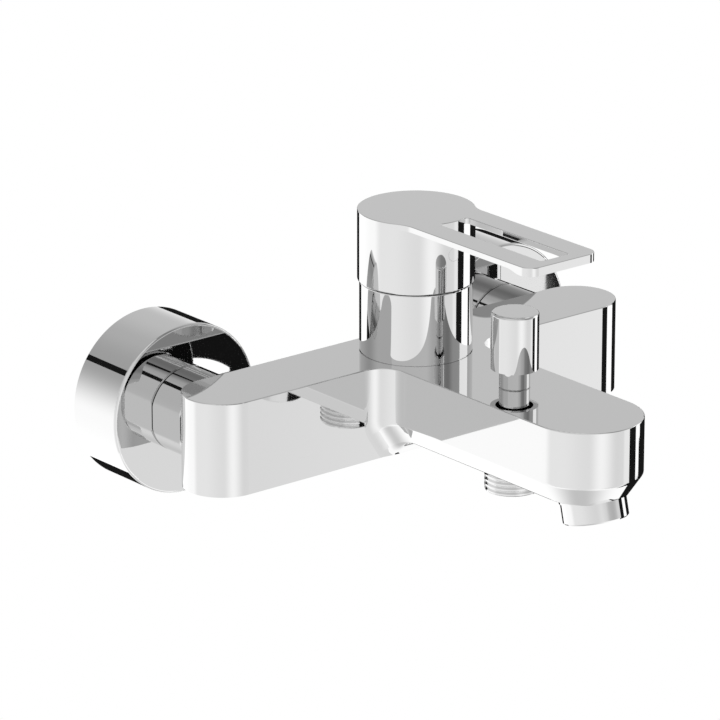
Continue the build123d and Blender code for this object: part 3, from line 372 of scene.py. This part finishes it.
def tooth_profile():
    """Radius and height pairs of one pitch of the thread, from the middle of a root to the next."""
    root = CREST_RADIUS - TOOTH_HEIGHT
    crest_edge = ROOT_SHARE + FLANK_SHARE
    rise = [
        (root, 0),
        (root, ROOT_SHARE * PITCH),
        (CREST_RADIUS - CREST_EDGE_DROP, crest_edge * PITCH),
        (CREST_RADIUS, (crest_edge + CREST_EDGE_SHARE) * PITCH),
    ]
    return rise + [(radius, PITCH - height) for radius, height in reversed(rise)]


def cut_thread(mesh, length, lead_radius):
    """Thread along Z from its free end at 0 to length, with a cone at the free end, in millimetres."""
    geom = profile(mesh, tooth_profile())
    climb = (0, 0, PITCH * MM / TURN_STEPS)
    bmesh.ops.spin(mesh, geom=geom, axis=(0, 0, 1), dvec=climb, angle=FULL_TURN, steps=TURN_STEPS)
    bmesh.ops.translate(mesh, verts=mesh.verts, vec=(0, 0, -SPARE_TURNS * PITCH * MM))
    turn = mesh.verts[:] + mesh.edges[:] + mesh.faces[:]
    copies = math.ceil(length / PITCH) + SPARE_TURNS
    for count in range(1, copies + 1):
        copy = bmesh.ops.duplicate(mesh, geom=turn)["geom"]
        copied = [element for element in copy if isinstance(element, bmesh.types.BMVert)]
        bmesh.ops.translate(mesh, verts=copied, vec=(0, 0, count * PITCH * MM))
    bmesh.ops.remove_doubles(mesh, verts=mesh.verts, dist=MERGE_DISTANCE)
    cut_off(mesh, (0, 0, 0), (0, 0, -1))
    cut_off(mesh, (0, 0, length * MM), (0, 0, 1))
    for corner in mesh.verts:
        radius = corner.co.xy.length
        cone = lead_radius * MM + corner.co.z
        if radius > cone:
            corner.co.xy = corner.co.xy * (cone / radius)


print("thread of", round(PITCH, 3), "mm pitch, ready to cut")

# %% [markdown]
# ## The shower outlet
# Below the spout stands a short threaded stub for the shower hose. Its bore holds the check valve, and its
# upper end is a plain spigot inside the casting. The thread is cut first, and one turned line gives bore and
# spigot. The free end is at zero, so the stub is only turned until its crests lie as they do in the picture,
# and moved to the outlet's lowest point.

# %% Shower outlet
OUTLET_THREAD = 9.5
OUTLET_LENGTH = 14.2
OUTLET_LEAD = 10.25
OUTLET_TURN = math.radians(268)
OUTLET_BORE = 7.0
SEAT_BORE = 5.4
SEAT_HEIGHT = 12.4
SPIGOT_RADIUS = 8.45
low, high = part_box("shower_outlet")
outlet_end = Vector(((low[0] + high[0]) / 2, (low[1] + high[1]) / 2, low[2]))
bore = [(OUTLET_BORE, 0), (OUTLET_BORE, SEAT_HEIGHT), (SEAT_BORE, SEAT_HEIGHT), (SEAT_BORE, OUTLET_LENGTH)]
spigot = [(SPIGOT_RADIUS, OUTLET_LENGTH), (SPIGOT_RADIUS, OUTLET_THREAD)]
outlet = bmesh.new()
cut_thread(outlet, OUTLET_THREAD, OUTLET_LEAD)
turned(outlet, bore + spigot)
close_ring(outlet, 0)
close_ring(outlet, OUTLET_THREAD * MM)
bmesh.ops.rotate(outlet, verts=outlet.verts, matrix=Matrix.Rotation(OUTLET_TURN, 3, "Z"))
bmesh.ops.translate(outlet, verts=outlet.verts, vec=outlet_end)
finished(outlet, "threaded_shower_outlet", "chrome", "shower_outlet")

# %% [markdown]
# ## The wall studs
# Behind each flange the cranked union ends in a stud that screws into the wall. The union's own solid is kept
# up to the knee: its triangles are merged and cut off there, and the threaded stud, with a short undercut
# where a real thread runs out, is bridged on, once round the bore and once round the outside.

# %% Wall studs
STUD_LENGTH = 20.0
STUD_CUT = 0.1
STUD_LEAD = 9.5
STUD_BORE = 7.0
UNDERCUT_LENGTH = 1.5
UNDERCUT_RADIUS = 9.2
BORE_LIMIT = 8.0
thread_end = STUD_LENGTH - STUD_CUT - UNDERCUT_LENGTH
stud_end = STUD_LENGTH - 2 * STUD_CUT
stud = bmesh.new()
cut_thread(stud, thread_end, STUD_LEAD)
turned(stud, [(STUD_BORE, 0), (STUD_BORE, stud_end)])
turned(stud, [(UNDERCUT_RADIUS, thread_end), (UNDERCUT_RADIUS, stud_end)])
close_ring(stud, 0)
close_ring(stud, thread_end * MM)
stud_mesh = bpy.data.meshes.new("stud")
stud.to_mesh(stud_mesh)
stud.free()
for side in ("left", "right"):
    node = side + "_eccentric_union"
    low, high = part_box(node)
    to_stud = out_from_wall(((low[0] + high[0]) / 2, high[1], 0))
    union = bmesh.new()
    union.from_mesh(nodes[node].data)
    bmesh.ops.remove_doubles(union, verts=union.verts, dist=MERGE_DISTANCE)
    bmesh.ops.transform(union, matrix=to_stud.inverted(), verts=union.verts)
    cut_off(union, (0, 0, (STUD_LENGTH - STUD_CUT) * MM), (0, 0, -1))
    union.from_mesh(stud_mesh)
    for inside in (True, False):
        rings = [
            edge
            for edge in union.edges
            if edge.is_boundary and (edge.verts[0].co.xy.length < BORE_LIMIT * MM) == inside
        ]
        bmesh.ops.bridge_loops(union, edges=rings)
    bmesh.ops.transform(union, matrix=to_stud, verts=union.verts)
    finished(union, side + "_threaded_union", "brass", node)
bpy.data.meshes.remove(stud_mesh)

# %% [markdown]
# ## The two springs
# Inside, one coil spring brings the diverter back and a lighter one shuts the check valve. Each stands on the
# body with one end, and a moving piece pushes the other. Bones or shape keys could shorten a coil, or its
# mesh could be scaled along Z. Here a merged copy of each solid stands in for it, at the length it was
# modelled.

# %% Springs
SPRINGS = {"diverter_spring": "diverter_lift", "check_valve_spring": "check_valve_travel"}
for node, joint in SPRINGS.items():
    low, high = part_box(node)
    spring = bmesh.new()
    spring.from_mesh(nodes[node].data)
    bmesh.ops.remove_doubles(spring, verts=spring.verts, dist=MERGE_DISTANCE)
    piece = finished(spring, "coiled_" + node, "steel", node)
    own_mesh(piece)

# %% [markdown]
# ## The studio
# Chrome shows its surroundings and nothing else, so the room is part of the finish. To the camera the room is
# plain white, and diffuse light comes evenly from everywhere, so other colours look as they are written. Only
# reflections see walls round the horizon and a greyer ceiling above. Lamps and painted walls could do that
# too, but two rings of tones are easier to set, bearing by bearing. Bearings run anticlockwise from the X
# axis, in degrees.

# %% World
FRONT_WALL = {-180: 1.12, -126: 1.03, -100: 1.29, -66: 0.96, -53: 0.98, -47: 1.15}
BACK_WALL = {90: 1.46, 140: 1.38, 158: 1.12}
FRONT_CEILING = {-180: 0.84, -110: 0.86, -92: 0.68, -78: 0.34, -62: 0.26, -46: 0.46}
BACK_CEILING = {20: 0.70, 60: 0.69, 90: 0.58, 120: 0.48, 150: 0.7}
WALL_TONES = FRONT_WALL | BACK_WALL
CEILING_TONES = FRONT_CEILING | BACK_CEILING
CEILING_FROM = math.sin(math.radians(-16))
CEILING_TO = math.sin(math.radians(22))
WHITE = grey(1.0)


def tone_ring(tree, turn, tones):
    """Tones round the horizon, one for each bearing, with soft steps between them."""
    ring = add(tree, "ShaderNodeValToRGB", {"Fac": turn})
    ring.color_ramp.interpolation = "EASE"
    stops = ring.color_ramp.elements
    while len(stops) < len(tones):
        stops.new(1.0)
    for stop, (degrees, tone) in zip(stops, tones.items()):
        stop.position = (degrees + 180) / 360
        stop.color = grey(tone)
    return ring.outputs["Color"]


def studio_world():
    """White to the camera, even to diffuse surfaces, walls and ceiling to mirrors."""
    world = bpy.data.worlds.new("studio")
    world.use_nodes = True
    tree = world.node_tree
    tree.nodes.clear()
    toward = add(tree, "ShaderNodeTexCoord", {}).outputs["Generated"]
    parts = add(tree, "ShaderNodeSeparateXYZ", {"Vector": toward}).outputs
    bearing = add(tree, "ShaderNodeMath", {0: parts["Y"], 1: parts["X"]}, operation="ARCTAN2")
    turn = add(
        tree,
        "ShaderNodeMapRange",
        {"Value": bearing.outputs[0], "From Min": -math.pi, "From Max": math.pi},
    )
    walls = tone_ring(tree, turn.outputs["Result"], WALL_TONES)
    ceiling = tone_ring(tree, turn.outputs["Result"], CEILING_TONES)
    height = add(
        tree,
        "ShaderNodeMapRange",
        {"Value": parts["Z"], "From Min": CEILING_FROM, "From Max": CEILING_TO},
        interpolation_type="SMOOTHSTEP",
    )
    room = add(
        tree,
        "ShaderNodeMix",
        {"Factor": height.outputs["Result"], "A": walls, "B": ceiling},
        data_type="RGBA",
    )
    rays = add(tree, "ShaderNodeLightPath", {})
    mirrored = add(tree, "ShaderNodeBackground", {"Color": room.outputs["Result"]})
    even = add(tree, "ShaderNodeBackground", {"Color": WHITE})
    mixed = add(
        tree,
        "ShaderNodeMixShader",
        {"Fac": rays.outputs["Is Glossy Ray"], 1: even.outputs[0], 2: mirrored.outputs[0]},
    )
    add(tree, "ShaderNodeOutputWorld", {"Surface": mixed.outputs[0]})
    bpy.context.scene.world = world


studio_world()
print("the room has", len(WALL_TONES), "tones round its walls and", len(CEILING_TONES), "round its ceiling")

# %% [markdown]
# ## Cards for the chrome
# A photographer stands black cards, called flags, round a chrome object, because they draw its dark edges,
# and a white panel where a side should be bright. Planes would do, but a strip of a wide cylinder round the
# mixer, made by spinning one upright edge, is told by two bearings and two angles from the horizon, in
# degrees. Its distance is in metres. Only mirrors see the cards.

# %% Flags and panels
FAR = 6.0
BEFORE_FAR = 5.9
NEAR = 0.85
BLACK = 0.012
PANEL_WHITE = 1.46
FEWEST_STEPS = 2


def stand(mesh, name, tone):
    """Makes the bmesh a card of one tone that only mirrors see."""
    material, tree, _, surface = new_material(name)
    glow = add(tree, "ShaderNodeEmission", {"Color": grey(tone)})
    tree.links.new(glow.outputs[0], surface)
    material.cycles.emission_sampling = "NONE"
    piece = as_object(mesh, name, material)
    for ray in ("camera", "diffuse", "transmission", "volume_scatter", "shadow"):
        setattr(piece, "visible_" + ray, False)


def card(name, distance, bearings, heights, tone):
    """Part of a wide cylinder between two bearings and two angles of height, one step to a degree."""
    mesh = bmesh.new()
    ends = [mesh.verts.new((distance, 0, distance * math.tan(math.radians(height)))) for height in heights]
    edge = mesh.edges.new(ends)
    bmesh.ops.rotate(mesh, verts=ends, matrix=Matrix.Rotation(math.radians(bearings[0]), 3, "Z"))
    width = bearings[1] - bearings[0]
    steps = max(FEWEST_STEPS, round(width))
    bmesh.ops.spin(mesh, geom=ends + [edge], axis=(0, 0, 1), angle=math.radians(width), steps=steps)
    stand(mesh, name, tone)
    print(name, "covers", round(width, 2), "degrees round the mixer")


card("black_flag_behind", FAR, (-1, 83), (-30, 4.5), BLACK)
card("black_flag_behind_low", FAR, (-1, 77.5), (-55, -30), BLACK)
card("black_flag_right", NEAR, (-44.87, -28.9), (-55, 0), BLACK)
card("black_flag_low", BEFORE_FAR, (-30, -1), (-55, -20.2), BLACK)
card("black_flag_low_left", BEFORE_FAR, (-30, -16.5), (-20.2, -19.2), BLACK)
card("black_flag_low_right", BEFORE_FAR, (-5, -1), (-20.2, -19.65), BLACK)
card("white_panel_right", FAR, (-30, -1), (-22, 30), PANEL_WHITE)
card("black_bar_behind", FAR, (100, 150), (23.4, 27.6), BLACK)
card("black_bar_front", FAR, (-120, -75), (37.0, 39.6), BLACK)

# %% [markdown]
# ## A small reflector
# The dark mirror image in the left flange has one bright spot, whose cause is out of sight. A small round
# reflector, as photographers clip behind an object to open a dark corner, stands in for it: an upright disc,
# in millimetres, of which three cuts leave a small cap between the two flanges.

# %% Round reflector
REFLECTOR_RADIUS = 39.3
REFLECTOR_MIDDLE = Vector((-31.8, 0, -58.4))
REFLECTOR_LEFT = -26.0
REFLECTOR_RIGHT = -8.0
REFLECTOR_FOOT = -28.7
REFLECTOR_WHITE = 2.2
reflector = bmesh.new()
bmesh.ops.create_circle(
    reflector,
    cap_ends=True,
    radius=REFLECTOR_RADIUS * MM,
    segments=TURN_STEPS,
    matrix=out_from_wall(REFLECTOR_MIDDLE * MM),
)
cut_off(reflector, (REFLECTOR_LEFT * MM, 0, 0), (-1, 0, 0))
cut_off(reflector, (REFLECTOR_RIGHT * MM, 0, 0), (1, 0, 0))
cut_off(reflector, (0, 0, REFLECTOR_FOOT * MM), (0, 0, -1))
stand(reflector, "round_reflector", REFLECTOR_WHITE)
print("the reflector is", REFLECTOR_RIGHT - REFLECTOR_LEFT, "mm wide")

# %% [markdown]
# ## The floor
# A pale disc lies well below the mixer, as the floor of a room would. To the camera it is white, partly by a
# glow of its own, and it stays matt to the light, so that it keeps a soft shadow. Mirrors see only a glow of
# it, with painted shade that makes it greyer in a long oval below the mixer. A square plane would do too, but
# its corners could show in chrome.

# %% Floor
FLOOR_RADIUS = 1.4
FLOOR_DEPTH = 1.5
FLOOR_PAINT = "F6F6F5"
GLOW_SHARE = 0.6
# The greyer oval below the mixer is painted shade, and only mirrors see it.
OVAL_BEARING = math.radians(45)
OVAL_STRETCH = 2.5
OVAL_INNER = 0.1
OVAL_OUTER = 0.9
TONE_IN_PAINTED_SHADE = 0.76
TONE_ROUND_OVAL = 1.4


def floor_finish():
    """Pale matt paint that is white to the camera and, in mirrors, a glow with a greyer oval of painted
    shade.
    """
    material, tree, place, surface = new_material("pale_floor")
    oval = add(
        tree,
        "ShaderNodeMapping",
        {
            "Vector": place,
            "Location": (0, 0, -FLOOR_DEPTH),
            "Rotation": (0, 0, OVAL_BEARING),
            "Scale": (OVAL_STRETCH, 1, 1),
        },
        vector_type="TEXTURE",
    )
    below = add(tree, "ShaderNodeVectorMath", {0: oval.outputs["Vector"]}, operation="LENGTH")
    # Painted shade: mirrors see the floor's glow greyer in the oval below the mixer and brighter round it.
    painted_shade = add(
        tree,
        "ShaderNodeMapRange",
        {
            "Value": below.outputs["Value"],
            "From Min": OVAL_INNER,
            "From Max": OVAL_OUTER,
            "To Min": TONE_IN_PAINTED_SHADE,
            "To Max": TONE_ROUND_OVAL,
        },
        interpolation_type="SMOOTHSTEP",
    )
    matt = add(tree, "ShaderNodeBsdfDiffuse", {"Color": colour(FLOOR_PAINT)})
    glow = add(tree, "ShaderNodeEmission", {"Color": WHITE})
    mirrored = add(tree, "ShaderNodeEmission", {"Strength": painted_shade.outputs["Result"]})
    rays = add(tree, "ShaderNodeLightPath", {}).outputs
    seen = add(tree, "ShaderNodeMath", {0: rays["Is Camera Ray"], 1: GLOW_SHARE}, operation="MULTIPLY")
    pale = add(
        tree,
        "ShaderNodeMixShader",
        {"Fac": seen.outputs[0], 1: matt.outputs[0], 2: glow.outputs[0]},
    )
    mixed = add(
        tree,
        "ShaderNodeMixShader",
        {"Fac": rays["Is Glossy Ray"], 1: pale.outputs[0], 2: mirrored.outputs[0]},
    )
    tree.links.new(mixed.outputs[0], surface)
    material.cycles.emission_sampling = "NONE"
    return material


floor_disc = bmesh.new()
bmesh.ops.create_circle(floor_disc, cap_ends=True, radius=FLOOR_RADIUS, segments=TURN_STEPS)
bmesh.ops.translate(floor_disc, verts=floor_disc.verts, vec=(0, 0, -FLOOR_DEPTH))
floor = as_object(floor_disc, "floor", floor_finish())
bpy.context.scene.view_settings.view_transform = "Standard"
print("the floor lies", FLOOR_DEPTH, "m below the mixer")
